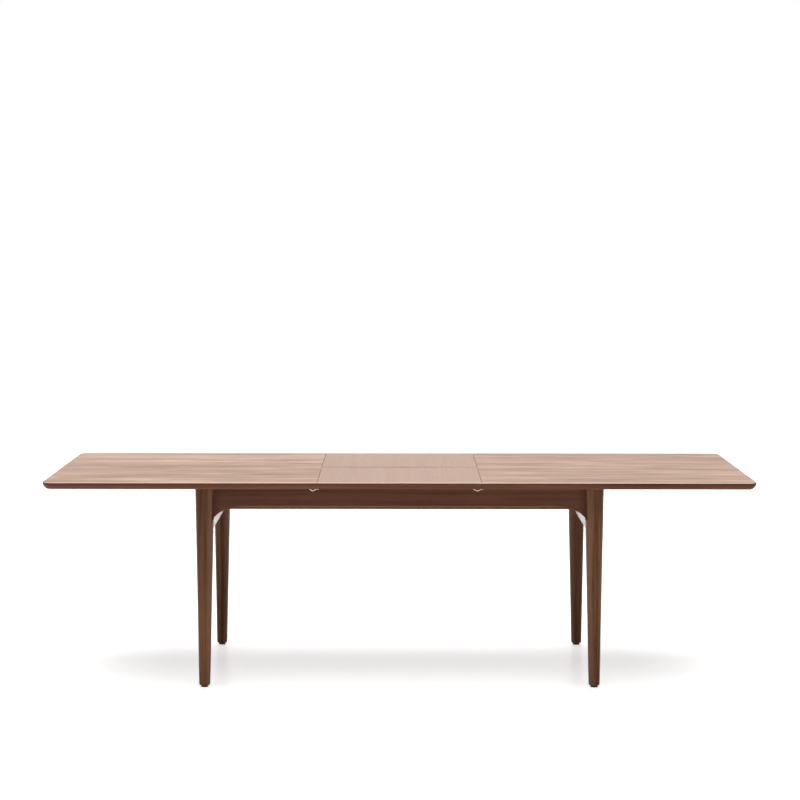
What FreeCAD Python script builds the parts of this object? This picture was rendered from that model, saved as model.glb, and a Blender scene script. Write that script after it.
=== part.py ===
import FreeCAD, Part
import os
import re
import Sketcher
from FreeCAD import Placement, Rotation, Vector

# Extending dining table, drawn open, with a folding centre leaf.
# Millimetres. X runs along the table, -Y is the front, Z is up from the floor.

SIZES = {
    # tops
    "table_height": 760,
    "top_depth": 900,
    "end_top_length": 1000,
    "leaf_width": 600,
    "top_thickness": 25,
    "seam_gap": 1,
    "middle_seam_gap": 2,
    "leaf_ease": 0.3,
    "edge_land": 5,
    "undercut_run": 16,
    "undercut_radius": 30,
    "corner_radius": 34,
    "arris_round": 1,
    # legs and glides
    "leg_inset_long": 285,
    "leg_inset_deep": 96,
    "leg_top_size": 70,
    "leg_top_corner": 27,
    "leg_foot_size": 41,
    "leg_foot_corner": 19.5,
    "leg_foot_round": 5,
    "frame_clearance": 1,
    "glide_diameter": 27,
    "glide_height": 6,
    "glide_stem_diameter": 7,
    "glide_stem_length": 18,
    "fit_clearance": 0.05,
    # aprons and end rails
    "apron_height": 80,
    "apron_thickness": 25,
    "apron_setback": 11.5,
    "haunch_radius": 82,
    "haunch_run": 71,
    "haunch_inset": 29,
    "housing_floor": 20,
    "rail_round": 5,
    "end_rail_height": 131,
    "end_rail_thickness": 25,
    # guide rails, slides and stop pins
    "guide_drop": 4,
    "guide_height": 54,
    "guide_thickness": 22,
    "guide_inset": 75,
    "slide_height": 52,
    "slide_thickness": 22,
    "slide_side_gap": 0.5,
    "slide_inner_reach": 550,
    "slide_end_gap": 10,
    "tongue_height": 9,
    "tongue_depth": 7,
    "groove_clearance": 0.4,
    "stop_pin_diameter": 6,
    "over_travel": 40,
    # cross bearers, corner blocks and storage pads
    "bearer_width": 50,
    "bearer_height": 23,
    "block_leg": 105,
    "block_height": 18,
    "block_drop": 1,
    "block_ease": 5,
    "pad_diameter": 20,
    "pad_height": 3,
    "pad_spacing": 300,
    # swing arms and leaf brackets
    "arm_length": 120,
    "arm_rest_angle": 28.7,
    "arm_width": 18,
    "arm_thickness": 5,
    "arm_side_gap": 12,
    "shaft_diameter": 12,
    "shaft_overhang": 0.5,
    "pivot_drop": 12,
    "main_pin_place": 70,
    "bracket_pin_diameter": 8,
    "open_pivot_clearance": 0.5,
    "bracket_gap": 1,
    "bracket_thickness": 4,
    "bracket_margin": 12,
    "bracket_slide_gap": 8.5,
    "bracket_flange": 20,
    "bracket_end_margin": 7,
    # leaf hinges
    "hinge_lift": 0.2,
    "hinge_lug_radius": 1.8,
    "hinge_pin_radius": 0.8,
    "hinge_lug_thickness": 2.9,
    "hinge_lug_gap": 0.2,
    "hinge_plate_length": 24,
    "hinge_plate_height": 15,
    "hinge_recess_clearance": 0.4,
    # V-bent straps and tongues at the seams
    "clip_thickness": 1.5,
    "clip_width": 14,
    "clip_edge_distance": 38,
    "clip_start": 31,
    "clip_apex": 16,
    "clip_bend": 3,
    "clip_reach": 6,
    "clip_depth": 9,
    "clip_lip": 2.5,
    "clip_tip": 2.5,
    "clip_flange_end": 52,
    "clip_rise": 12,
    # screws
    "screw_diameter": 4,
    "screw_head_diameter": 8,
    "screw_head_height": 3,
    "screw_bite": 14,
    "screw_first": 80,
    "screw_last": 40,
}

# Places worked out from the sizes.
PLACES = {
    "underside": "table_height - top_thickness",
    "leaf_underside": "underside + leaf_ease",
    "leg_top": "underside - frame_clearance",
    "half_depth": "top_depth / 2",
    "half_gap": "leaf_width / 2",
    "half_leaf": "half_gap - seam_gap",
    "half_seam": "middle_seam_gap / 2",
    "top_end": "half_gap + end_top_length",
    "corner_start_long": "top_end - corner_radius",
    "corner_start_deep": "half_depth - corner_radius",
    "land_bottom": "table_height - edge_land",
    "undercut_inner": "half_depth - undercut_run",
    "cutter_outer": "half_depth + edge_land",
    "cutter_bottom": "underside - edge_land",
    "cutter_start": "half_gap - edge_land",
    "foot_bend": "leg_foot_round * (1 - cos(45 deg))",
    "sole_size": "leg_foot_size - 2 * leg_foot_round",
    "sole_corner": "leg_foot_corner - leg_foot_round",
    "bend_height": "glide_height + foot_bend",
    "bend_size": "leg_foot_size - 2 * foot_bend",
    "bend_corner": "leg_foot_corner - foot_bend",
    "foot_height": "glide_height + leg_foot_round",
    "leg_long": "end_top_length - leg_inset_long",
    "leg_deep": "half_depth - leg_inset_deep",
    "apron_outer": "leg_deep + leg_top_size / 2 - apron_setback",
    "apron_inner": "apron_outer - apron_thickness",
    "apron_bottom": "leg_top - apron_height",
    "haunch_drop": "haunch_radius - sqrt(haunch_radius ^ 2 - haunch_run ^ 2)",
    "haunch_bottom": "apron_bottom - haunch_drop",
    "haunch_start": "leg_long - haunch_inset - haunch_run",
    "haunch_end": "haunch_start + haunch_run",
    "housing_end_long": "leg_long - housing_floor",
    "housing_end_deep": "leg_deep - housing_floor",
    "guide_top": "underside - guide_drop",
    "guide_bottom": "guide_top - guide_height",
    "guide_offset": "leg_deep - guide_inset",
    "guide_inner": "guide_offset - guide_thickness / 2",
    "guide_outer": "guide_offset + guide_thickness / 2",
    "guide_middle": "guide_bottom + guide_height / 2",
    "rail_bottom": "guide_bottom - end_rail_height",
    "rail_inner": "leg_long - end_rail_thickness / 2",
    "rail_outer": "leg_long + end_rail_thickness / 2",
    "slide_bottom": "underside - slide_height",
    "slide_inner_end": "slide_inner_reach - half_gap",
    "slide_outer_end": "rail_outer - slide_end_gap",
    "slide_inner_face": "guide_inner - slide_side_gap - slide_thickness",
    "slide_outer_face": "guide_outer + slide_side_gap + slide_thickness",
    "notch_out": "over_travel + stop_pin_diameter / 2 + groove_clearance",
    "notch_in": "half_gap + stop_pin_diameter / 2 + groove_clearance",
    "bearer_bottom": "guide_bottom - bearer_height",
    "block_top": "guide_bottom - block_drop",
    "block_bottom": "block_top - block_height",
    "block_notch_long": "leg_long - leg_top_size / 2 - block_ease",
    "block_notch_deep": "leg_deep - leg_top_size / 2 - block_ease",
    "block_end_long": "block_notch_long - block_leg",
    "block_end_deep": "block_notch_deep - block_leg",
    "pin_height": "leaf_underside - pivot_drop",
    "arm_sine": "sin(arm_rest_angle * 1 deg)",
    "arm_cosine": "cos(arm_rest_angle * 1 deg)",
    "pivot_height": "pin_height - arm_length * arm_sine",
    "pivot_back": "arm_length * arm_cosine",
    "bracket_front": "main_pin_place - bracket_margin",
    "bracket_back": "slide_inner_face - bracket_slide_gap",
    "second_pin_place": "bracket_back - bracket_margin",
    "main_pivot_place": "main_pin_place - pivot_back",
    "second_pivot_place": "second_pin_place - pivot_back",
    "bracket_end": "half_leaf - bracket_end_margin",
    "bracket_outer": "bracket_end - bracket_flange",
    "bracket_inner": "bracket_outer - bracket_thickness",
    "arm_outer": "bracket_inner - bracket_gap",
    "arm_inner": "arm_outer - arm_thickness",
    "bearer_outer": "arm_inner - arm_side_gap",
    "bearer_middle": "bearer_outer - bearer_width / 2",
    "bearer_inner": "bearer_outer - bearer_width",
    "hinge_height": "table_height + hinge_lift",
    "lug_split": "half_leaf - hinge_lug_thickness",
    "lug_inner": "lug_split - hinge_lug_gap - hinge_lug_thickness",
    "screw_pitch": "(slide_outer_end - half_gap - screw_first - screw_last) / 2",
    "clip_upper_apex": "clip_depth - clip_thickness",
    "clip_upper_lip": "clip_lip - clip_thickness",
    "clip_upper_tip": "clip_tip - clip_thickness",
}

XY, XZ, YZ = "XY_Plane", "XZ_Plane", "YZ_Plane"
SIDES = (("left", -1), ("right", 1))
FACES = (("front", -1), ("back", 1))

doc = FreeCAD.newDocument("extending_table")
nodes = []


def refer(formula):
    """Put the name of its sheet before each size or place in a formula."""
    def prefix(match):
        word = match.group()
        if word in SIZES:
            return "Sizes." + word
        if word in PLACES:
            return "Places." + word
        return word
    return re.sub(r"[a-z][a-z_]*", prefix, formula)


def fill_sheets():
    sizes = doc.addObject("Spreadsheet::Sheet", "Sizes")
    for row, (alias, number) in enumerate(SIZES.items(), start=1):
        sizes.set(f"A{row}", str(number))
        sizes.setAlias(f"A{row}", alias)
    doc.recompute()
    places = doc.addObject("Spreadsheet::Sheet", "Places")
    for row, (alias, formula) in enumerate(PLACES.items(), start=1):
        places.set(f"A{row}", "=" + refer(formula))
        places.setAlias(f"A{row}", alias)
    doc.recompute()


def number(term):
    """The value of one size or place, with an optional minus before its name."""
    name = term.lstrip("-")
    if name == "0":
        return 0.0
    sheet = doc.Sizes if name in SIZES else doc.Places
    value = float(sheet.get(name))
    return -value if term.startswith("-") else value


def bind(thing, **formulas):
    for prop, formula in formulas.items():
        thing.setExpression(prop, refer(formula))


def move_to(thing, x="0", y="0", z="0"):
    for axis, formula in (("x", x), ("y", y), ("z", z)):
        thing.setExpression("Placement.Base." + axis, refer(formula))


def side(sign, low, high):
    """A span on the positive side, or its mirror image on the negative side."""
    if sign > 0:
        return (low, high)
    return (f"-({high})", f"-({low})")


def block(name, x, y, z):
    """A box from its low and high limits along each axis."""
    box = doc.addObject("Part::Box", name)
    bind(box, Length=f"{x[1]} - ({x[0]})", Width=f"{y[1]} - ({y[0]})", Height=f"{z[1]} - ({z[0]})")
    move_to(box, x[0], y[0], z[0])
    return box


TURN = {
    "x": Rotation(Vector(0, 1, 0), 90),
    "y": Rotation(Vector(1, 0, 0), -90),
    "z": Rotation(),
}


def rod(name, along, radius, span, x="0", y="0", z="0"):
    """A cylinder along one axis, from the low to the high limit of its span."""
    cylinder = doc.addObject("Part::Cylinder", name)
    cylinder.Placement = Placement(Vector(), TURN[along])
    bind(cylinder, Radius=radius, Height=f"{span[1]} - ({span[0]})")
    start = {"x": x, "y": y, "z": z}
    start[along] = span[0]
    move_to(cylinder, **start)
    return cylinder


def join(name, pieces):
    if len(pieces) == 1:
        return pieces[0]
    joined = doc.addObject("Part::MultiFuse", name)
    joined.Shapes = pieces
    return joined


def cut(name, base, tools):
    result = doc.addObject("Part::Cut", name)
    result.Base = base
    result.Tool = join(name + "_tools", tools)
    return result


def group(name, pieces):
    compound = doc.addObject("Part::Compound", name)
    compound.Links = pieces
    return compound


def keep(thing, label):
    """Name a finished piece and put it on the list of those to write."""
    thing.Label = label
    nodes.append(thing)
    return thing


def plane_sketch(body, name, role, offset="0"):
    sketch = body.newObject("Sketcher::SketchObject", name)
    plane = next(f for f in body.Origin.OriginFeatures if f.Role == role)
    sketch.AttachmentSupport = [(plane, "")]
    sketch.MapMode = "FlatFace"
    sketch.setExpression("AttachmentOffset.Base.z", refer(offset))
    return sketch


def left_turn(start, end, radius):
    """An arc from start to end that turns left on its way."""
    chord = end - start
    rise = radius - (radius ** 2 - (chord.Length / 2) ** 2) ** 0.5
    right = Vector(chord.y, -chord.x, 0).normalize()
    return Part.Arc(start, (start + end) / 2 + right * rise, end)


def outline(sketch, corners, radii, closed=True):
    """Draw straight sides between corners, or arcs where a radius is given for the side."""
    points = [Vector(number(x), number(y), 0) for x, y in corners]
    count = len(points)
    last = count if closed else count - 1
    for index in range(last):
        start, end = points[index], points[(index + 1) % count]
        if index in radii:
            sketch.addGeometry(left_turn(start, end, number(radii[index])))
        else:
            sketch.addGeometry(Part.LineSegment(start, end))
    ends = [find_ends(sketch, index, points[index]) for index in range(last)]
    for index in range(last):
        following = (index + 1) % count
        if following < last:
            sketch.addConstraint(
                Sketcher.Constraint("Coincident", index, ends[index][1], following, ends[following][0]))
    for index, (x, y) in enumerate(corners):
        edge, point = (index, ends[index][0]) if index < last else (last - 1, ends[last - 1][1])
        for kind, term in (("DistanceX", x), ("DistanceY", y)):
            added = sketch.addConstraint(Sketcher.Constraint(kind, -1, 1, edge, point, number(term)))
            sketch.setExpression(f"Constraints[{added}]", refer(term))
    for index, name in radii.items():
        added = sketch.addConstraint(Sketcher.Constraint("Radius", index, number(name)))
        sketch.setExpression(f"Constraints[{added}]", refer(name))


def find_ends(sketch, edge, start):
    """The sketch's numbers for the near and far end of an edge that was drawn from start."""
    if (sketch.getPoint(edge, 1) - start).Length < (sketch.getPoint(edge, 2) - start).Length:
        return (1, 2)
    return (2, 1)


def pad(body, sketch, length):
    feature = body.newObject("PartDesign::Pad", "Pad_" + body.Name)
    feature.Profile = sketch
    feature.setExpression("Length", refer(length))
    return feature


def ease(body, feature, radius, chosen):
    """Round the edges of a feature that the chosen test picks out."""
    doc.recompute()
    edges = [f"Edge{index + 1}" for index, edge in enumerate(feature.Shape.Edges) if chosen(edge.BoundBox)]
    rounding = body.newObject("PartDesign::Fillet", "Round_" + body.Name)
    rounding.Base = (feature, edges)
    rounding.setExpression("Radius", refer(radius))


def on_top(box):
    """Whether an edge lies in the table's upper face."""
    return box.ZMin > number("table_height") - number("arris_round") / 2


fill_sheets()


LUG_SPAN = {
    -1: ("lug_split", "half_leaf"),
    1: ("lug_inner", "lug_inner + hinge_lug_thickness"),
}


def end_top(label, turned):
    """An end top: a slab with two rounded corners and three undercut edges."""
    body = doc.addObject("PartDesign::Body", label)
    plan = plane_sketch(body, label + "_plan", XY, "underside")
    corners = [
        ("half_gap", "-half_depth"),
        ("corner_start_long", "-half_depth"),
        ("top_end", "-corner_start_deep"),
        ("top_end", "corner_start_deep"),
        ("corner_start_long", "half_depth"),
        ("half_gap", "half_depth"),
    ]
    outline(plan, corners, {1: "corner_radius", 3: "corner_radius"})
    pad(body, plan, "top_thickness")
    route = plane_sketch(body, label + "_edge", XY, "underside")
    edge = [("cutter_start", "-half_depth")] + corners[1:-1] + [("cutter_start", "half_depth")]
    outline(route, edge, {1: "corner_radius", 3: "corner_radius"}, closed=False)
    section = plane_sketch(body, label + "_undercut", YZ, "cutter_start")
    outline(section, [
        ("-half_depth", "land_bottom"),
        ("-undercut_inner", "underside"),
        ("-undercut_inner", "cutter_bottom"),
        ("-cutter_outer", "cutter_bottom"),
        ("-cutter_outer", "land_bottom"),
    ], {0: "undercut_radius"})
    doc.recompute()
    undercut = body.newObject("PartDesign::SubtractivePipe", label + "_sweep")
    undercut.Profile = section
    undercut.Spine = (route, [f"Edge{index + 1}" for index in range(len(edge) - 1)])
    ease(body, undercut, "arris_round", on_top)
    if turned:
        body.Placement = Placement(Vector(), Rotation(Vector(0, 0, 1), 180))
    keep(body, label)


def leaf_half(label, face):
    """Half of the centre leaf, with an undercut outer edge and recesses for its hinge lugs."""
    body = doc.addObject("PartDesign::Body", label + "_board")
    section = plane_sketch(body, label + "_section", YZ, "-half_leaf")
    outline(section, [
        ("half_seam", "leaf_underside"),
        ("undercut_inner", "leaf_underside"),
        ("half_depth", "land_bottom"),
        ("half_depth", "table_height"),
        ("half_seam", "table_height"),
    ], {1: "undercut_radius"})
    ease(body, pad(body, section, "2 * half_leaf"), "arris_round", on_top)
    if face < 0:
        body.Placement = Placement(Vector(), Rotation(Vector(0, 0, 1), 180))
    recesses = []
    for end, sign in SIDES:
        name = f"{label}_{end}"
        span = side(sign, "lug_inner - hinge_lug_gap", "half_leaf + hinge_lug_gap")
        recesses.append(rod(name + "_recess", "x", "hinge_lug_radius + hinge_recess_clearance", span,
                            z="hinge_height"))
        recesses.append(block(name + "_slot", side(sign, *LUG_SPAN[face]), side(face, "0", "hinge_plate_length"),
                              ("table_height - hinge_plate_height", "table_height + edge_land")))
    keep(cut(label, body, recesses), label)


def hinge_lug(label, face, sign):
    """A plate let into the end of a leaf half, with an eye on the middle seam; the back one has the pin."""
    across = side(sign, *LUG_SPAN[face])
    plate = block(label + "_plate", across, side(face, "half_seam", "hinge_plate_length"),
                  ("table_height - hinge_plate_height", "table_height"))
    eye = rod(label + "_eye", "x", "hinge_lug_radius", across, z="hinge_height")
    if face > 0:
        pin = rod(label + "_pin", "x", "hinge_pin_radius", side(sign, "lug_inner", "half_leaf"), z="hinge_height")
        keep(join(label, [plate, eye, pin]), label)
        return
    bore = rod(label + "_bore", "x", "hinge_pin_radius + fit_clearance", across, z="hinge_height")
    keep(cut(label, join(label + "_solid", [plate, eye]), [bore]), label)


def soft_square(body, name, height, size, corner):
    """A square sketch with rounded corners, level at the given height."""
    sketch = plane_sketch(body, name, XY, height)
    half = number(size) / 2
    radius = number(corner)
    flat = half - radius
    for quarter in range(4):
        turn = Rotation(Vector(0, 0, 1), 90 * quarter)
        start = turn.multVec(Vector(-flat, -half, 0))
        end = turn.multVec(Vector(flat, -half, 0))
        after = turn.multVec(Vector(half, -flat, 0))
        sketch.addGeometry(Part.LineSegment(start, end))
        sketch.addGeometry(left_turn(end, after, radius))
    for edge in range(8):
        sketch.addConstraint(Sketcher.Constraint("Tangent", edge, 2, (edge + 1) % 8, 1))
    for line in (0, 4):
        sketch.addConstraint(Sketcher.Constraint("Horizontal", line))
    for line in (2, 6):
        sketch.addConstraint(Sketcher.Constraint("Vertical", line))
    for arc in (3, 5, 7):
        sketch.addConstraint(Sketcher.Constraint("Equal", 1, arc))
    sketch.addConstraint(Sketcher.Constraint("Symmetric", 1, 3, 5, 3, -1, 1))
    for kind, low, high in (("DistanceX", 6, 2), ("DistanceY", 0, 4)):
        added = sketch.addConstraint(Sketcher.Constraint(kind, low, 1, high, 1, number(size)))
        sketch.setExpression(f"Constraints[{added}]", refer(size))
    added = sketch.addConstraint(Sketcher.Constraint("Radius", 1, radius))
    sketch.setExpression(f"Constraints[{added}]", refer(corner))
    return sketch


def leg(label, sign, face):
    """A tapered leg with a rounded foot, housings for an apron and an end rail, and a bore for its glide."""
    body = doc.addObject("PartDesign::Body", label + "_taper")
    sole = soft_square(body, label + "_sole", "glide_height", "sole_size", "sole_corner")
    bend = soft_square(body, label + "_bend", "bend_height", "bend_size", "bend_corner")
    foot = soft_square(body, label + "_foot", "foot_height", "leg_foot_size", "leg_foot_corner")
    head = soft_square(body, label + "_head", "leg_top", "leg_top_size", "leg_top_corner")
    doc.recompute()
    taper = body.newObject("PartDesign::AdditiveLoft", label + "_loft")
    taper.Profile = sole
    taper.Sections = [bend, foot, head]
    taper.Ruled = True
    centre_x = "leg_long" if sign > 0 else "-leg_long"
    centre_y = "leg_deep" if face > 0 else "-leg_deep"
    move_to(body, centre_x, centre_y)
    apron_housing = block(label + "_apron_housing", side(sign, "leg_long - leg_top_size", "housing_end_long"),
                          side(face, "apron_inner", "apron_outer"), ("haunch_bottom", "table_height"))
    rail_housing = block(label + "_rail_housing", side(sign, "rail_inner", "rail_outer"),
                         side(face, "leg_deep - leg_top_size", "housing_end_deep"),
                         ("rail_bottom", "guide_bottom"))
    bore = rod(label + "_bore", "z", "glide_stem_diameter / 2 + fit_clearance",
               ("0", "glide_height + glide_stem_length + frame_clearance"), centre_x, centre_y)
    keep(cut(label, body, [apron_housing, rail_housing, bore]), label)
    glide = label.replace("leg", "glide")
    disc = rod(glide + "_disc", "z", "glide_diameter / 2", ("0", "glide_height"), centre_x, centre_y)
    stem = rod(glide + "_stem", "z", "glide_stem_diameter / 2", ("0", "glide_height + glide_stem_length"),
               centre_x, centre_y)
    keep(join(glide, [disc, stem]), glide)


def apron(label, face):
    """A long rail whose lower edge curves down in a haunch at each leg, with its lower edges rounded."""
    body = doc.addObject("PartDesign::Body", label)
    profile = plane_sketch(body, label + "_profile", XZ, "apron_inner" if face < 0 else "-apron_outer")
    outline(profile, [
        ("-housing_end_long", "leg_top"),
        ("housing_end_long", "leg_top"),
        ("housing_end_long", "haunch_bottom"),
        ("haunch_end", "haunch_bottom"),
        ("haunch_start", "apron_bottom"),
        ("-haunch_start", "apron_bottom"),
        ("-haunch_end", "haunch_bottom"),
        ("-housing_end_long", "haunch_bottom"),
    ], {3: "haunch_radius", 5: "haunch_radius"})
    board = pad(body, profile, "apron_thickness")

    def curved_edge(box):
        between_legs = max(box.XMax, -box.XMin) < number("haunch_end") + number("fit_clearance")
        return between_legs and box.ZMax < number("leg_top") and box.XLength > number("haunch_run") / 2

    ease(body, board, "rail_round", curved_edge)
    keep(body, label)


def end_rail(label, sign):
    """A deep end rail with rounded lower edges, set low so that the guide rails lie across it."""
    body = doc.addObject("PartDesign::Body", label)
    plan = plane_sketch(body, label + "_plan", XY, "rail_bottom")
    inner, outer = ("rail_inner", "rail_outer") if sign > 0 else ("-rail_outer", "-rail_inner")
    outline(plan, [
        (inner, "-housing_end_deep"),
        (outer, "-housing_end_deep"),
        (outer, "housing_end_deep"),
        (inner, "housing_end_deep"),
    ], {})
    board = pad(body, plan, "end_rail_height")

    def low_edge(box):
        return box.ZMax < number("rail_bottom") + number("rail_round") and box.YLength > number("end_rail_height")

    ease(body, board, "rail_round", low_edge)
    keep(body, label)


def corner_block(label, sign, face):
    """A flat brace in the corner of the frame, notched round the leg."""
    body = doc.addObject("PartDesign::Body", label)
    plan = plane_sketch(body, label + "_plan", XY, "block_bottom")
    corners = [
        ("block_end_long", "apron_inner"),
        ("block_notch_long", "apron_inner"),
        ("block_notch_long", "block_notch_deep"),
        ("rail_inner", "block_notch_deep"),
        ("rail_inner", "block_end_deep"),
    ]
    sign_x = "" if sign > 0 else "-"
    sign_y = "" if face > 0 else "-"
    outline(plan, [(sign_x + x, sign_y + y) for x, y in corners], {})
    pad(body, plan, "block_height")
    keep(body, label)


GROOVE = ("guide_middle - tongue_height / 2", "guide_middle + tongue_height / 2 + groove_clearance")
TONGUE = ("guide_middle - tongue_height / 2", "guide_middle + tongue_height / 2")


def guide_rail(label, face):
    """A fixed rail across the end rails and bearers, grooved on both sides for the slides."""
    rail = block(label + "_rail", ("-rail_outer", "rail_outer"), side(face, "guide_inner", "guide_outer"),
                 ("guide_bottom", "guide_top"))
    depth = "tongue_depth + groove_clearance"
    inner = block(label + "_inner_groove", ("-rail_outer", "rail_outer"),
                  side(face, "guide_inner", f"guide_inner + {depth}"), GROOVE)
    outer = block(label + "_outer_groove", ("-rail_outer", "rail_outer"),
                  side(face, f"guide_outer - ({depth})", "guide_outer"), GROOVE)
    hole = rod(label + "_pin_hole", "y", "stop_pin_diameter / 2 + fit_clearance",
               side(face, "guide_inner", "guide_outer"), z="guide_middle")
    keep(cut(label, rail, [inner, outer, hole]), label)


def slide(label, sign, face):
    """A runner under an end top: the left one runs inside the guide rail and the right one outside it.
    Its tongue is missing over the stretch that passes the stop pin."""
    if sign < 0:
        runner_span = ("slide_inner_face", "guide_inner - slide_side_gap")
        tongue_span = ("guide_inner - slide_side_gap", "guide_inner + tongue_depth")
    else:
        runner_span = ("guide_outer + slide_side_gap", "slide_outer_face")
        tongue_span = ("guide_outer - tongue_depth", "guide_outer + slide_side_gap")
    runner = block(label + "_runner", side(sign, "-slide_inner_end", "slide_outer_end"),
                   side(face, *runner_span), ("slide_bottom", "underside"))
    outer_tongue = block(label + "_outer_tongue", side(sign, "notch_in", "slide_outer_end"),
                         side(face, *tongue_span), TONGUE)
    inner_tongue = block(label + "_inner_tongue", side(sign, "-slide_inner_end", "-notch_out"),
                         side(face, *tongue_span), TONGUE)
    keep(join(label, [runner, outer_tongue, inner_tongue]), label)


def stop_pins(label):
    pins = [
        rod(f"stop_pin_{name}", "y", "stop_pin_diameter / 2", side(face, "guide_inner", "guide_outer"),
            z="guide_middle")
        for name, face in FACES
    ]
    keep(group(label, pins), label)


ARM_SETS = (("main", "main_pin_place", "main_pivot_place"), ("second", "second_pin_place", "second_pivot_place"))


def cross_bearer(label, sign):
    """A bearer between the aprons, bored for the two arm shafts."""
    board = block(label + "_board", side(sign, "bearer_inner", "bearer_outer"), ("-apron_inner", "apron_inner"),
                  ("bearer_bottom", "guide_bottom"))
    bores = [
        rod(f"{label}_{name}_bore", "x", "shaft_diameter / 2 + fit_clearance",
            side(sign, "bearer_inner", "bearer_outer"), y=pivot, z="pivot_height")
        for name, pin, pivot in ARM_SETS
    ]
    keep(cut(label, board, bores), label)


def storage_pads(label):
    pads = []
    for end, sign in SIDES:
        for name, face in FACES:
            place_x = f"{sign} * bearer_middle"
            place_y = f"{face} * pad_spacing / 2"
            pads.append(rod(f"pad_{end}_{name}", "z", "pad_diameter / 2",
                            ("guide_bottom", "guide_bottom + pad_height"), place_x, place_y))
    keep(group(label, pads), label)


def arm_shaft(label, pivot):
    reach = "arm_outer + shaft_overhang"
    keep(rod(label, "x", "shaft_diameter / 2", (f"-({reach})", reach), y=pivot, z="pivot_height"), label)


def swing_arm(label, sign, pin, pivot, pin_clearance):
    """A flat arm from its shaft up to the leaf bracket's pin, round at both ends."""
    across = side(sign, "arm_inner", "arm_outer")
    lower = rod(label + "_lower", "x", "arm_width / 2", across, y=pivot, z="pivot_height")
    upper = rod(label + "_upper", "x", "arm_width / 2", across, y=pin, z="pin_height")
    strip = doc.addObject("Part::Box", label + "_strip")
    bind(strip, Length="arm_thickness", Width="arm_length", Height="arm_width")
    strip.Placement = Placement(Vector(), Rotation(Vector(1, 0, 0), SIZES["arm_rest_angle"]))
    strip.setExpression("Placement.Rotation.Angle", refer("arm_rest_angle"))
    move_to(strip, across[0], f"{pivot} + arm_width / 2 * arm_sine", "pivot_height - arm_width / 2 * arm_cosine")
    shaft_hole = rod(label + "_shaft_hole", "x", "shaft_diameter / 2 + fit_clearance", across, y=pivot,
                     z="pivot_height")
    pin_hole = rod(label + "_pin_hole", "x", f"bracket_pin_diameter / 2 + {pin_clearance}", across, y=pin,
                   z="pin_height")
    keep(cut(label, join(label + "_solid", [lower, upper, strip]), [shaft_hole, pin_hole]), label)


def leaf_bracket(label, sign):
    """An angle under the back half of the leaf, with a pin for each arm."""
    deep = ("bracket_front", "bracket_back")
    plate = block(label + "_plate", side(sign, "bracket_inner", "bracket_outer"), deep,
                  ("pin_height - arm_width / 2", "leaf_underside"))
    flange = block(label + "_flange", side(sign, "bracket_outer", "bracket_end"), deep,
                   ("leaf_underside - bracket_thickness", "leaf_underside"))
    pins = [
        rod(f"{label}_{name}_pin", "x", "bracket_pin_diameter / 2",
            side(sign, "arm_inner - shaft_overhang", "bracket_inner"), y=pin, z="pin_height")
        for name, pin, pivot in ARM_SETS
    ]
    keep(join(label, [plate, flange] + pins), label)


STRAP_OUTLINE = [
    ("-clip_flange_end", "-clip_thickness"),
    ("-clip_start", "-clip_thickness"),
    ("-clip_apex", "-clip_depth"),
    ("-clip_bend", "-clip_lip"),
    ("clip_reach", "-clip_lip"),
    ("clip_reach", "-clip_upper_lip"),
    ("-clip_bend", "-clip_upper_lip"),
    ("-clip_apex", "-clip_upper_apex"),
    ("-clip_start", "0"),
    ("-clip_flange_end", "0"),
]
TONGUE_OUTLINE = [
    ("-clip_start", "-clip_tip"),
    ("-clip_apex", "-clip_depth"),
    ("-clip_bend", "-clip_lip"),
    ("clip_reach", "-clip_lip"),
    ("clip_rise", "-clip_thickness"),
    ("clip_flange_end", "-clip_thickness"),
    ("clip_flange_end", "0"),
    ("clip_rise", "0"),
    ("clip_reach", "-clip_upper_lip"),
    ("-clip_bend", "-clip_upper_lip"),
    ("-clip_apex", "-clip_upper_apex"),
    ("-clip_start", "-clip_upper_tip"),
]


def seam_clip(label, corners, seam, face):
    """A V-bent strip under the edge. Drawn together without the leaf, the tongue beds in the strap."""
    body = doc.addObject("PartDesign::Body", label)
    profile = plane_sketch(body, label + "_profile", XZ, "-clip_width / 2")
    outline(profile, corners, {})
    pad(body, profile, "clip_width")
    move_to(body, seam, f"{face} * (half_depth - clip_edge_distance)", "underside")
    keep(body, label)


def screw(name, x, y, head, tip):
    """A screw that points up, from under its head to its tip."""
    cap = rod(name + "_cap", "z", "screw_head_diameter / 2", (head, f"{head} + screw_head_height"), x, y)
    shank = rod(name + "_shank", "z", "screw_diameter / 2", (head, tip), x, y)
    return join(name, [cap, shank])


def top_screws(label, sign):
    """Screws up through the slides and the seam clips into one end top."""
    middle = "slide_inner_face + slide_thickness / 2"
    if sign > 0:
        middle = "slide_outer_face - slide_thickness / 2"
    screws = []
    for name, face in FACES:
        for index in range(3):
            place = f"{sign} * (half_gap + screw_first + {index} * screw_pitch)"
            screws.append(screw(f"{label}_{name}_{index}", place, f"{face} * ({middle})", "slide_bottom",
                                "underside + screw_bite"))
        clip = f"{sign} * (half_gap + (clip_flange_end + clip_start) / 2)"
        screws.append(screw(f"{label}_{name}_clip", clip, f"{face} * (half_depth - clip_edge_distance)",
                            "underside - clip_thickness", "underside + screw_bite"))
    keep(group(label, screws), label)


def leaf_screws(label):
    screws = [
        screw(f"{label}_{end}_{name}", f"{sign} * (bracket_outer + bracket_flange / 2)", pin,
              "leaf_underside - bracket_thickness - screw_head_height", "leaf_underside + screw_bite")
        for end, sign in SIDES
        for name, pin, pivot in ARM_SETS
    ]
    keep(group(label, screws), label)


def frame_screws(label):
    """Screws up through the cross bearers into the guide rails."""
    screws = [
        screw(f"{label}_{end}_{name}", f"{sign} * bearer_middle", f"{face} * guide_offset", "bearer_bottom",
              "guide_bottom + screw_bite")
        for end, sign in SIDES
        for name, face in FACES
    ]
    keep(group(label, screws), label)


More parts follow.
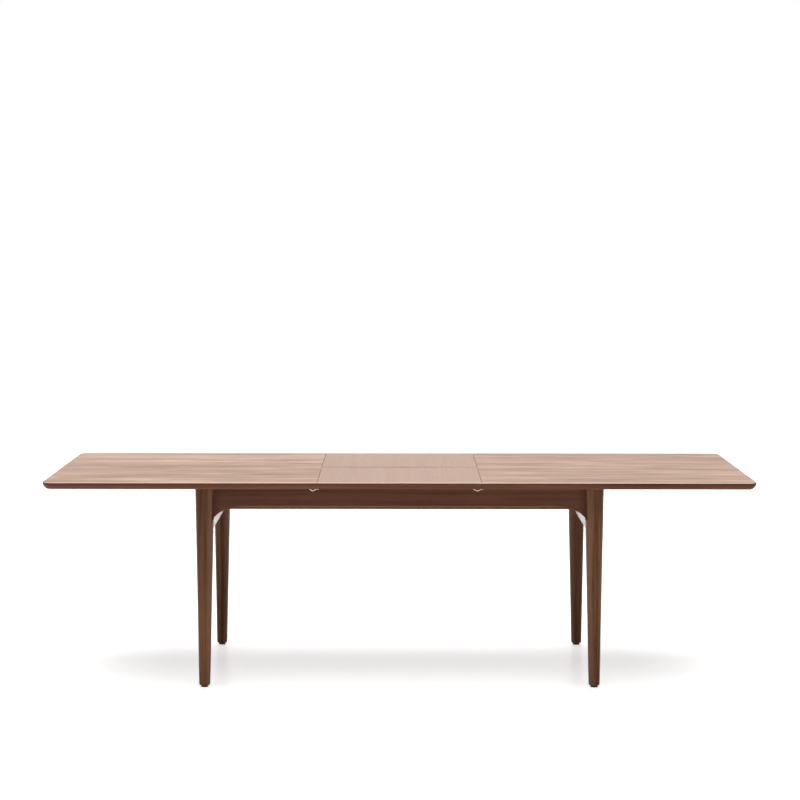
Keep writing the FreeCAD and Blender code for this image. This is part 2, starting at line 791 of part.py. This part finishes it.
def build():
    for face_name, face in FACES:
        for end, sign in SIDES:
            leg(f"leg_{face_name}_{end}", sign, face)
            corner_block(f"corner_block_{face_name}_{end}", sign, face)
            slide(f"{end}_slide_{face_name}", sign, face)
            hinge_lug(f"hinge_lug_{face_name}_{end}", face, sign)
        apron(f"apron_{face_name}", face)
        guide_rail(f"guide_rail_{face_name}", face)
        leaf_half(f"leaf_{face_name}", face)
        seam_clip(f"seam_strap_{face_name}", STRAP_OUTLINE, "-half_gap", face)
        seam_clip(f"seam_tongue_{face_name}", TONGUE_OUTLINE, "half_gap", face)
    for end, sign in SIDES:
        end_top(f"{end}_top", sign < 0)
        end_rail(f"end_rail_{end}", sign)
        cross_bearer(f"cross_bearer_{end}", sign)
        leaf_bracket(f"leaf_bracket_{end}", sign)
        top_screws(f"{end}_top_screws", sign)
        for name, pin, pivot in ARM_SETS:
            clearance = "fit_clearance" if name == "main" else "open_pivot_clearance"
            swing_arm(f"{name}_arm_{end}", sign, pin, pivot, clearance)
    for name, pin, pivot in ARM_SETS:
        arm_shaft(f"{name}_shaft", pivot)
    stop_pins("stop_pins")
    storage_pads("storage_pads")
    leaf_screws("leaf_screws")
    frame_screws("frame_screws")


def check():
    for thing in doc.Objects:
        if "Invalid" in thing.State or "Error" in thing.State:
            raise RuntimeError(f"{thing.Name} failed to build")
    for node in nodes:
        if node.Shape.isNull() or not node.Shape.isValid() or not node.Shape.Solids:
            raise RuntimeError(f"{node.Label} has no valid shape")


build()
doc.recompute()
check()
os.makedirs("parts", exist_ok=True)
for node in nodes:
    node.Shape.exportStep(f"parts/{node.Label}.step")
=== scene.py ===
import math

import bmesh
import bpy
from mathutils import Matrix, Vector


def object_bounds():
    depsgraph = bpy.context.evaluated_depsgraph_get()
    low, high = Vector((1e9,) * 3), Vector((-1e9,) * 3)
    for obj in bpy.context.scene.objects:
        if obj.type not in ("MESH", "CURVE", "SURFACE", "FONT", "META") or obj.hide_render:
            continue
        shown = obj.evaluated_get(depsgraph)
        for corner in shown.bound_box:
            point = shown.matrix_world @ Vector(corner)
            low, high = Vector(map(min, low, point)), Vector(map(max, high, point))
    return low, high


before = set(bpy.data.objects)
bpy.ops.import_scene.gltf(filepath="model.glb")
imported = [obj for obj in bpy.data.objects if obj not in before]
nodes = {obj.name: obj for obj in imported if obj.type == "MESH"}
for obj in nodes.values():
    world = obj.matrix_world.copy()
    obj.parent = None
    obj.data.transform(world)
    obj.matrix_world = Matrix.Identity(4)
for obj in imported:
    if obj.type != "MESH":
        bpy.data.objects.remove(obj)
cad_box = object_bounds()


def colour(red, green, blue):
    """A screen colour, 0 to 255, as the linear values that sockets take."""
    def linear(level):
        level /= 255
        return level / 12.92 if level <= 0.04045 else ((level + 0.055) / 1.055) ** 2.4
    return (linear(red), linear(green), linear(blue), 1)


# Camera, set from the photograph: it stands in front of the table, level, and looks along +Y.
CAMERA_PLACE = (-0.0088, -7.441, 1.7177)
CAMERA_LENS = 86.807
CAMERA_SHIFT = (0.00326, -0.22643)
CAMERA_LEVEL = math.radians(90)
CAMERA_ROLL = math.radians(-0.046)

# Room and lamps. A level of 1 shows a white card as white.
WHITE = (1, 1, 1, 1)
BACKDROP_LEVEL = 1.0
ROOM_LEVEL = 0.15
OVERHEAD_LEVEL = 0.78
OVERHEAD_PLACE = (0, 0, 4)
OVERHEAD_SOFTNESS = math.radians(60)
OVERHEAD_TILT = math.radians(5)
BACK_LEVEL = 0.3
BACK_PLACE = (0, 1, 4)
BACK_SOFTNESS = math.radians(30)
BACK_TILT = math.radians(-12)
FRONT_POWER = 0.1
FRONT_PLACE = (0, -5.5, 1.6)
FRONT_TILT = math.radians(84)
FRONT_SIZE = 5.0

# Floor: half its side, its colour to the camera and to bounced light, its glow, and a weak gloss.
FLOOR_HALF = 60
FLOOR_WHITE = (0.86, 0.855, 0.85, 1)
FLOOR_BOUNCE = (0.45, 0.45, 0.45, 1)
FLOOR_GLOW = 0.67
FLOOR_GLOSS = 0.1
FLOOR_ROUGHNESS = 0.2

# Streaks: changes per metre along and across the grain or the brushing, and the noise's detail.
STREAKS = {
    "broad": (0.5, 5.0, 2.0),
    "bands": (1.3, 11.0, 3.0),
    "flecks": (5.0, 26.0, 3.0),
    "middle": (0.9, 24.0, 3.0),
    "fine": (2.2, 75.0, 6.0),
    "pores": (14.0, 620.0, 2.0),
    "brushing": (30.0, 1800.0, 3.0),
    "tarnish": (18.0, 26.0, 3.0),
    "wear": (90.0, 90.0, 3.0),
}
STREAK_ROUGHNESS = 0.55
SKIN_DETAIL = 2.0

# Growth rings: changes per metre along and across the grain, and how they wander.
RING_RATES = (0.35, 9.0, 9.0)
RING_WANDER = {"Distortion": 7.0, "Detail": 3.0, "Detail Scale": 0.9, "Detail Roughness": 0.6}

# Ranges of the noise: its middle, how far tones reach from there at a contrast of 1, what roughness
# follows, and what opens the pores. The dents are inputs of bump nodes.
NOISE_MIDDLE = 0.5
TONE_SPREAD = 0.22
NOISE_RANGE = (0.3, 0.7)
PORE_RANGE = (0.56, 0.74)
PORE_DARKNESS = 0.35
PORE_DENTS = {"Strength": 0.18, "Distance": 0.0002}
BRUSHING_DENTS = {"Strength": 0.1, "Distance": 0.0001}
SKIN_DENTS = {"Strength": 0.2, "Distance": 0.0001}

# Turns that bring the grain, along the named axis, to X.
GRAIN_TURN = {
    "x": (0, 0, 0),
    "y": (0, 0, math.radians(-90)),
    "z": (0, math.radians(90), 0),
}

# Woods: dark, middle and pale tones, the share of each kind of streak in them, and their contrast.
# The cut is the place in the log that the legs' figure starts from.
FRAME_SHARES = {"broad": 0.25, "middle": 0.35, "fine": 0.3, "rings": 0.1}
APRON_TONES = (colour(103, 66, 46), colour(131, 86, 61), colour(153, 106, 78))
END_TOP_WOOD = ((colour(116, 79, 57), colour(162, 121, 93), colour(200, 162, 134)),
                {"bands": 0.45, "flecks": 0.3, "fine": 0.15, "rings": 0.1}, 1.6)
LEAF_WOOD = ((colour(149, 114, 94), colour(167, 131, 110), colour(183, 147, 125)),
             {"broad": 0.3, "middle": 0.3, "fine": 0.4}, 1.0)
LIPPING_WOOD = ((colour(114, 73, 55), colour(144, 97, 75), colour(166, 118, 94)), FRAME_SHARES, 1.6)
APRON_WOOD = (APRON_TONES, FRAME_SHARES, 1.6)
END_RAIL_WOOD = (APRON_TONES, FRAME_SHARES, 1.4)
LEG_WOOD = ((colour(100, 63, 40), colour(132, 88, 59), colour(156, 109, 77)),
            {"broad": 0.1, "middle": 0.35, "fine": 0.55}, 2.2)
BEECH_WOOD = ((colour(176, 138, 98), colour(196, 160, 120), colour(210, 178, 140)),
              {"broad": 0.4, "fine": 0.6}, 1.0)
LEG_CUT = (0.0, 0.97, 0.0)

# Coatings of the woods: the least and the greatest roughness, and the index of refraction. The shines
# are specular levels on the edges and on the upper face of a top.
LACQUER = (0.26, 0.36, 1.2)
RAIL_LACQUER = (0.2, 0.3, 1.4)
WAX = (0.5, 0.62, 1.35)
EDGE_SHINE = 0.12
FACE_SHINE = 0.5

# Metals: the tone, and the least and the greatest roughness. Tarnish leaves a share of the tone.
ARM_ZINC = (colour(196, 198, 202), (0.28, 0.42))
SHAFT_ZINC = (colour(190, 192, 196), (0.24, 0.36))
CLIP_NICKEL = (colour(252, 234, 214), (0.2, 0.32))
HINGE_BRONZE = (colour(172, 142, 118), (0.45, 0.6))
TARNISH_SHARE = 0.82
TARNISH_RANGE = (0.35, 0.65)

# Plastic and rubber: the tone, where it is worn, the range of roughness, and pebbles per metre.
GLIDE_PLASTIC = (colour(18, 15, 13), colour(30, 26, 23), (0.6, 0.75), 2600.0)
PAD_RUBBER = (colour(40, 40, 41), colour(56, 56, 56), (0.7, 0.85), 1800.0)
WEAR_RANGE = (0.4, 0.7)

# Painted highlights and painted shade on the tops, in the leaf's seam, on the aprons and on the legs:
# their tones, their sizes in metres, and their shares. The corner's turn is a product of parts of the
# normal.
ARRIS_DEPTH = 0.0012
# Painted highlight along the upper arris of the tops: its tone, how far it reaches inwards, and its share.
ARRIS_HIGHLIGHT_TONE = colour(236, 208, 188)
ARRIS_HIGHLIGHT_REACH = 0.022
ARRIS_HIGHLIGHT_SHARE = 0.8
# Painted shade in a line along the edges of the tops, just under the upper face: tone, depth, reach,
# share.
SHADE_LINE_TONE = colour(58, 36, 26)
SHADE_LINE_DEPTH = 0.0035
SHADE_LINE_REACH = 0.0025
SHADE_LINE_SHARE = 0.55
# Painted shade in the leaf's middle seam: its tone, reach, darkest place, run and shares.
SEAM_SHADE_TONE = colour(56, 30, 20)
SEAM_SHADE_REACH = 0.01
SEAM_SHADE_DARKEST = -0.06
SEAM_SHADE_RUN = (0.12, 0.3)
SEAM_SHADE_SHARES = (0.95, 0.3)
# Painted highlight just above the aprons' lower edge: its tone, height, reach, and fade towards the
# haunches.
APRON_HIGHLIGHT_TONE = colour(206, 150, 112)
APRON_HIGHLIGHT_HEIGHT = 0.0095
APRON_HIGHLIGHT_REACH = 0.003
APRON_HIGHLIGHT_FADE = 0.06
# Painted shade at the apron ends beside the legs: its tone and reach.
JOINT_SHADE_TONE = colour(98, 56, 35)
JOINT_SHADE_REACH = 0.028
# Painted highlight on the legs' inner rounded corners: its tone, the range of the normal's turn, and its
# share.
CORNER_HIGHLIGHT_TONE = colour(178, 130, 100)
CORNER_HIGHLIGHT_TURN = (-0.1, -0.5)
CORNER_HIGHLIGHT_SHARE = 0.7

FACES = ("front", "back")
ENDS = ("left", "right")
CORNERS = [f"{face}_{end}" for face in FACES for end in ENDS]

# Places taken from the frame. A face looks down if its normal's height is under DOWNWARD, and the
# underside is the apron's largest such face, between its haunches.
DOWNWARD = -0.99
TOP_HEIGHT = max(corner[2] for corner in nodes["left_top"].bound_box)
LEG_INNER = min(corner[0] for corner in nodes["leg_front_right"].bound_box)
APRON = nodes["apron_front"].data
UNDERSIDE = max((face for face in APRON.polygons if face.normal.z < DOWNWARD), key=lambda face: face.area)
APRON_BOTTOM = UNDERSIDE.center.z
HAUNCH_START = max(APRON.vertices[corner].co.x for corner in UNDERSIDE.vertices)


def new_material(name):
    material = bpy.data.materials.new(name)
    material.use_nodes = True
    return material, material.node_tree, material.node_tree.nodes["Principled BSDF"]


def add(tree, kind, inputs=None, **settings):
    """A node with its settings made, and its inputs set or joined to other nodes' outputs."""
    node = tree.nodes.new(kind)
    for name, value in settings.items():
        setattr(node, name, value)
    for key, value in (inputs or {}).items():
        if isinstance(value, bpy.types.NodeSocket):
            tree.links.new(value, node.inputs[key])
        else:
            node.inputs[key].default_value = value
    return node


def blend_numbers(tree, operation, first, second):
    return add(tree, "ShaderNodeMath", {0: first, 1: second}, operation=operation).outputs["Value"]


def change_number(tree, operation, number):
    return add(tree, "ShaderNodeMath", {0: number}, operation=operation).outputs["Value"]


def mix_colours(tree, factor, first, second):
    mixed = add(tree, "ShaderNodeMix", {"Factor": factor, 6: first, 7: second}, data_type="RGBA")
    return mixed.outputs[2]


def spread(tree, factor, low, high, low_to, high_to):
    """The factor, moved from the range low to high to the range low_to to high_to, and kept inside it."""
    ranges = {"From Min": low, "From Max": high, "To Min": low_to, "To Max": high_to}
    return add(tree, "ShaderNodeMapRange", {"Value": factor, **ranges}).outputs["Result"]


def tone_ramp(tree, factor, positions, tones):
    """The tones at these positions of the factor, with soft changes between them."""
    ramp = add(tree, "ShaderNodeValToRGB", {"Fac": factor})
    ramp.color_ramp.interpolation = "EASE"
    points = ramp.color_ramp.elements
    while len(points) < len(tones):
        points.new(0.5)
    for point, position, tone in zip(points, positions, tones):
        point.position = position
        point.color = tone
    return ramp.outputs["Color"]


def object_place(tree):
    return add(tree, "ShaderNodeTexCoord").outputs["Object"]


def parts(tree, vector):
    return add(tree, "ShaderNodeSeparateXYZ", {"Vector": vector}).outputs


def axes(tree):
    """The distances from the table's middle along X and Y, and the height above the floor."""
    x, y, z = parts(tree, object_place(tree))
    return change_number(tree, "ABSOLUTE", x), change_number(tree, "ABSOLUTE", y), z


def along_grain(tree, grain, shift=(0, 0, 0)):
    """Object coordinates turned so that the grain runs along X, and then shifted."""
    turned = add(tree, "ShaderNodeMapping",
                 {"Vector": object_place(tree), "Location": shift, "Rotation": GRAIN_TURN[grain]})
    return turned.outputs["Vector"]


def streaks(tree, place, along, across, detail):
    """Noise drawn out along the grain: how often it changes, per metre, along and across."""
    stretched = add(tree, "ShaderNodeMapping", {"Vector": place, "Scale": (along, across, across)})
    noise = add(tree, "ShaderNodeTexNoise", {"Vector": stretched.outputs["Vector"], "Scale": 1.0,
                                             "Detail": detail, "Roughness": STREAK_ROUGHNESS})
    return noise.outputs["Fac"]


def growth_rings(tree, place):
    """Bands across the grain that wander and close up, as growth rings do in a flat-sawn face."""
    stretched = add(tree, "ShaderNodeMapping", {"Vector": place, "Scale": RING_RATES})
    rings = add(tree, "ShaderNodeTexWave",
                {"Vector": stretched.outputs["Vector"], "Scale": 1.0, **RING_WANDER},
                wave_type="BANDS", bands_direction="Y", wave_profile="SIN")
    return rings.outputs["Fac"]


def figure_tone(tree, place, shares):
    """The shares of streaks and growth rings in the tone of a wood, added up: 0 is dark and 1 is pale."""
    layers = []
    for kind, share in shares.items():
        layer = growth_rings(tree, place) if kind == "rings" else streaks(tree, place, *STREAKS[kind])
        layers.append(blend_numbers(tree, "MULTIPLY", layer, share))
    tone = layers[0]
    for layer in layers[1:]:
        tone = blend_numbers(tree, "ADD", tone, layer)
    return tone


def grain_tone(tree, place, tones, shares, contrast):
    reach = TONE_SPREAD / contrast
    positions = (NOISE_MIDDLE - reach, NOISE_MIDDLE, NOISE_MIDDLE + reach)
    return tone_ramp(tree, figure_tone(tree, place, shares), positions, tones)


def roughen(tree, shader, noise, roughness):
    """A roughness that follows the noise, from the least to the greatest."""
    tree.links.new(spread(tree, noise, *NOISE_RANGE, *roughness), shader.inputs["Roughness"])


def dent(tree, shader, height, depth, invert=False):
    bump = add(tree, "ShaderNodeBump", {"Height": height, **depth}, invert=invert)
    tree.links.new(bump.outputs["Normal"], shader.inputs["Normal"])


def wood(name, grain, figure, coating, touches=(), cut_from=(0, 0, 0)):
    """A coated wood whose tone runs in streaks along one axis, with fine open pores. Each touch gives a
    place on it another tone. The board is cut from the given place in the log."""
    material, tree, shader = new_material(name)
    place = along_grain(tree, grain, cut_from)
    pores = streaks(tree, place, *STREAKS["pores"])
    open_pores = spread(tree, pores, *PORE_RANGE, 0.0, PORE_DARKNESS)
    darkest = figure[0][0]
    body = mix_colours(tree, open_pores, grain_tone(tree, place, *figure), darkest)
    for touch in touches:
        factor, tone = touch(tree)
        body = mix_colours(tree, factor, body, tone)
    tree.links.new(body, shader.inputs["Base Color"])
    least, greatest, refraction = coating
    roughen(tree, shader, streaks(tree, place, *STREAKS["fine"]), (least, greatest))
    shader.inputs["IOR"].default_value = refraction
    dent(tree, shader, pores, PORE_DENTS, invert=True)
    return material


def metal(name, brushing, tone, roughness):
    """A plated metal with fine brushing marks along one axis."""
    material, tree, shader = new_material(name)
    place = along_grain(tree, brushing)
    marks = streaks(tree, place, *STREAKS["brushing"])
    tarnished = tuple(TARNISH_SHARE * level for level in tone[:3]) + (1,)
    tarnish = streaks(tree, place, *STREAKS["tarnish"])
    shade = tone_ramp(tree, tarnish, TARNISH_RANGE, (tarnished, tone))
    tree.links.new(shade, shader.inputs["Base Color"])
    roughen(tree, shader, marks, roughness)
    shader.inputs["Metallic"].default_value = 1.0
    dent(tree, shader, marks, BRUSHING_DENTS)
    return material


def moulded(name, tone, worn, roughness, pebbles):
    """A dark moulded plastic or rubber with a pebbled skin."""
    material, tree, shader = new_material(name)
    place = along_grain(tree, "x")
    wear = streaks(tree, place, *STREAKS["wear"])
    shade = tone_ramp(tree, wear, WEAR_RANGE, (tone, worn))
    tree.links.new(shade, shader.inputs["Base Color"])
    roughen(tree, shader, wear, roughness)
    dent(tree, shader, streaks(tree, place, pebbles, pebbles, SKIN_DETAIL), SKIN_DENTS)
    return material


def upper_face(tree, low, high):
    """From low on the edges and the underside of a top to high on its upper face."""
    return spread(tree, axes(tree)[2], TOP_HEIGHT - 2 * ARRIS_DEPTH, TOP_HEIGHT - ARRIS_DEPTH, low, high)


def lipping(tree):
    """The edges of the tops: dark solid wood whose grain follows the front."""
    return upper_face(tree, 1.0, 0.0), grain_tone(tree, along_grain(tree, "x"), *LIPPING_WOOD)


def painted_arris_highlight(tree):
    """A painted highlight on the upper face along the front and the back arris, fading out inwards."""
    half_depth = cad_box[1][1]
    near = spread(tree, axes(tree)[1], half_depth - ARRIS_HIGHLIGHT_REACH, half_depth, 0.0, 1.0)
    return blend_numbers(tree, "MULTIPLY", near, upper_face(tree, 0.0, ARRIS_HIGHLIGHT_SHARE)), ARRIS_HIGHLIGHT_TONE


def ridge(tree, value, middle, reach, share):
    """The share at the middle of a value's range, falling to 0 at its reach on both sides."""
    rise = spread(tree, value, middle - reach, middle, 0.0, share)
    fall = spread(tree, value, middle, middle + reach, share, 0.0)
    return blend_numbers(tree, "MINIMUM", rise, fall)


def painted_shade_line(tree):
    """Painted shade: a dark line along the edges just under the upper face."""
    depth = blend_numbers(tree, "SUBTRACT", TOP_HEIGHT, axes(tree)[2])
    return ridge(tree, depth, SHADE_LINE_DEPTH, SHADE_LINE_REACH, SHADE_LINE_SHARE), SHADE_LINE_TONE


def painted_seam_shade(tree):
    """Painted shade in the leaf's middle seam, most of it left of the middle."""
    offset = blend_numbers(tree, "SUBTRACT", parts(tree, object_place(tree))["X"], SEAM_SHADE_DARKEST)
    seam_shade = spread(tree, change_number(tree, "ABSOLUTE", offset), *SEAM_SHADE_RUN, *SEAM_SHADE_SHARES)
    near = spread(tree, axes(tree)[1], SEAM_SHADE_REACH / 2, SEAM_SHADE_REACH, 1.0, 0.0)
    return blend_numbers(tree, "MULTIPLY", near, seam_shade), SEAM_SHADE_TONE


def painted_apron_highlight(tree):
    """A painted highlight: a paler line just above the lower edge of an apron."""
    line = ridge(tree, axes(tree)[2], APRON_BOTTOM + APRON_HIGHLIGHT_HEIGHT, APRON_HIGHLIGHT_REACH, 1.0)
    between = spread(tree, axes(tree)[0], HAUNCH_START - APRON_HIGHLIGHT_FADE, HAUNCH_START, 1.0, 0.0)
    return blend_numbers(tree, "MULTIPLY", line, between), APRON_HIGHLIGHT_TONE


def painted_joint_shade(tree):
    """Painted shade at the ends of an apron, where it meets the legs."""
    return spread(tree, axes(tree)[0], LEG_INNER - JOINT_SHADE_REACH, LEG_INNER, 0.0, 1.0), JOINT_SHADE_TONE


def painted_corner_highlight(tree):
    """A painted highlight on the rounded corners of a leg towards the table's middle, paler than its flat
    faces.
    """
    aside, ahead, _ = parts(tree, add(tree, "ShaderNodeNewGeometry").outputs["Normal"])
    side = change_number(tree, "SIGN", parts(tree, object_place(tree))["X"])
    outward = blend_numbers(tree, "MULTIPLY", aside, side)
    turned = blend_numbers(tree, "MULTIPLY", outward, change_number(tree, "ABSOLUTE", ahead))
    return spread(tree, turned, *CORNER_HIGHLIGHT_TURN, 0.0, CORNER_HIGHLIGHT_SHARE), CORNER_HIGHLIGHT_TONE


def dull_edges(material):
    """Less lacquer on the edges and the underside of a top than on its upper face."""
    tree = material.node_tree
    shine = upper_face(tree, EDGE_SHINE, FACE_SHINE)
    tree.links.new(shine, tree.nodes["Principled BSDF"].inputs["Specular IOR Level"])
    return material


def finish(material, names):
    for name in names:
        slots = nodes[name].data.materials
        slots.clear()
        slots.append(material)


def dress_tops():
    edges = (lipping, painted_shade_line, painted_arris_highlight)
    end_tops = wood("walnut_end_tops", "x", END_TOP_WOOD, LACQUER, edges)
    finish(dull_edges(end_tops), [f"{end}_top" for end in ENDS])
    leaf = wood("walnut_leaf", "y", LEAF_WOOD, LACQUER, edges + (painted_seam_shade,))
    finish(dull_edges(leaf), [f"leaf_{face}" for face in FACES])


def dress_frame():
    aprons = wood("walnut_aprons", "x", APRON_WOOD, LACQUER, (painted_apron_highlight, painted_joint_shade))
    finish(aprons, [f"apron_{face}" for face in FACES])
    finish(wood("walnut_end_rails", "y", END_RAIL_WOOD, RAIL_LACQUER), [f"end_rail_{end}" for end in ENDS])
    legs = wood("walnut_legs", "z", LEG_WOOD, LACQUER, (painted_corner_highlight,), LEG_CUT)
    finish(legs, [f"leg_{corner}" for corner in CORNERS])
    runners = [f"guide_rail_{face}" for face in FACES]
    runners += [f"{end}_slide_{face}" for end in ENDS for face in FACES]
    finish(wood("beech_runners", "x", BEECH_WOOD, WAX), runners)
    bearers = [f"cross_bearer_{end}" for end in ENDS] + [f"corner_block_{corner}" for corner in CORNERS]
    finish(wood("beech_bearers", "y", BEECH_WOOD, WAX), bearers)


def dress_fittings():
    arms = [f"{kind}_{end}" for kind in ("main_arm", "second_arm", "leaf_bracket") for end in ENDS]
    finish(metal("zinc_arms", "y", *ARM_ZINC), arms)
    screws = [f"{group}_screws" for group in ("frame", "leaf", "left_top", "right_top")]
    finish(metal("zinc_shafts", "x", *SHAFT_ZINC), ["main_shaft", "second_shaft", "stop_pins"] + screws)
    clips = [f"seam_{clip}_{face}" for clip in ("strap", "tongue") for face in FACES]
    finish(metal("nickel_clips", "x", *CLIP_NICKEL), clips)
    finish(metal("bronzed_hinges", "y", *HINGE_BRONZE), [f"hinge_lug_{corner}" for corner in CORNERS])
    finish(moulded("black_glides", *GLIDE_PLASTIC), [f"glide_{corner}" for corner in CORNERS])
    finish(moulded("rubber_pads", *PAD_RUBBER), ["storage_pads"])


def backdrop_rays(tree):
    """1 for the rays that see the backdrop itself: direct, mirrored or through something clear."""
    path = add(tree, "ShaderNodeLightPath").outputs
    seen = blend_numbers(tree, "MAXIMUM", path["Is Camera Ray"], path["Is Glossy Ray"])
    return blend_numbers(tree, "MAXIMUM", seen, path["Is Transmission Ray"])


def mix_shaders(tree, factor, first, second):
    return add(tree, "ShaderNodeMixShader", {0: factor, 1: first.outputs[0], 2: second.outputs[0]})


def light_room():
    """A white room that lights the table evenly and at a low level."""
    world = bpy.data.worlds.new("studio")
    bpy.context.scene.world = world
    world.use_nodes = True
    tree = world.node_tree
    tree.nodes.clear()
    seen = add(tree, "ShaderNodeBackground", {"Color": WHITE, "Strength": BACKDROP_LEVEL})
    fill = add(tree, "ShaderNodeBackground", {"Color": WHITE, "Strength": ROOM_LEVEL})
    mixed = mix_shaders(tree, backdrop_rays(tree), fill, seen)
    add(tree, "ShaderNodeOutputWorld", {"Surface": mixed.outputs[0]})


def floor_finish():
    """White to the camera, with a glow and a weak gloss, and a dimmer white to bounced light."""
    material = bpy.data.materials.new("white_floor")
    material.use_nodes = True
    tree = material.node_tree
    tree.nodes.clear()
    dim = add(tree, "ShaderNodeBsdfDiffuse", {"Color": FLOOR_BOUNCE})
    white = add(tree, "ShaderNodeBsdfDiffuse", {"Color": FLOOR_WHITE})
    glow = add(tree, "ShaderNodeEmission", {"Color": WHITE, "Strength": FLOOR_GLOW})
    lit = add(tree, "ShaderNodeAddShader", {0: white.outputs[0], 1: glow.outputs[0]})
    gloss = add(tree, "ShaderNodeBsdfGlossy", {"Color": WHITE, "Roughness": FLOOR_ROUGHNESS})
    shown = mix_shaders(tree, FLOOR_GLOSS, lit, gloss)
    mixed = mix_shaders(tree, backdrop_rays(tree), dim, shown)
    add(tree, "ShaderNodeOutputMaterial", {"Surface": mixed.outputs[0]})
    return material


def lay_floor():
    """A white floor. It glows a little to the camera, so that it meets the backdrop without an edge."""
    form = bmesh.new()
    bmesh.ops.create_grid(form, x_segments=1, y_segments=1, size=FLOOR_HALF)
    mesh = bpy.data.meshes.new("studio_floor")
    form.to_mesh(mesh)
    form.free()
    floor = bpy.data.objects.new("studio_floor", mesh)
    bpy.context.scene.collection.objects.link(floor)
    mesh.materials.append(floor_finish())


def hang_lamp(name, kind, place, tilt, **settings):
    lamp = bpy.data.lights.new(name, kind)
    for key, value in settings.items():
        setattr(lamp, key, value)
    holder = bpy.data.objects.new(name, lamp)
    holder.location = place
    holder.rotation_euler = (tilt, 0, 0)
    bpy.context.scene.collection.objects.link(holder)


def light_table():
    hang_lamp("overhead_softbox", "SUN", OVERHEAD_PLACE, OVERHEAD_TILT, energy=OVERHEAD_LEVEL * math.pi,
              angle=OVERHEAD_SOFTNESS)
    hang_lamp("back_softbox", "SUN", BACK_PLACE, BACK_TILT, energy=BACK_LEVEL * math.pi,
              angle=BACK_SOFTNESS)
    hang_lamp("front_fill", "AREA", FRONT_PLACE, FRONT_TILT, energy=FRONT_POWER, size=FRONT_SIZE)


def place_camera():
    camera = bpy.data.cameras.new("photo_camera")
    camera.lens = CAMERA_LENS
    camera.shift_x, camera.shift_y = CAMERA_SHIFT
    holder = bpy.data.objects.new("photo_camera", camera)
    holder.location = CAMERA_PLACE
    holder.rotation_euler = (CAMERA_LEVEL, CAMERA_ROLL, 0)
    bpy.context.scene.collection.objects.link(holder)
    bpy.context.scene.camera = holder


bpy.context.scene.view_settings.view_transform = "Standard"
dress_tops()
dress_frame()
dress_fittings()
light_room()
lay_floor()
light_table()
place_camera()
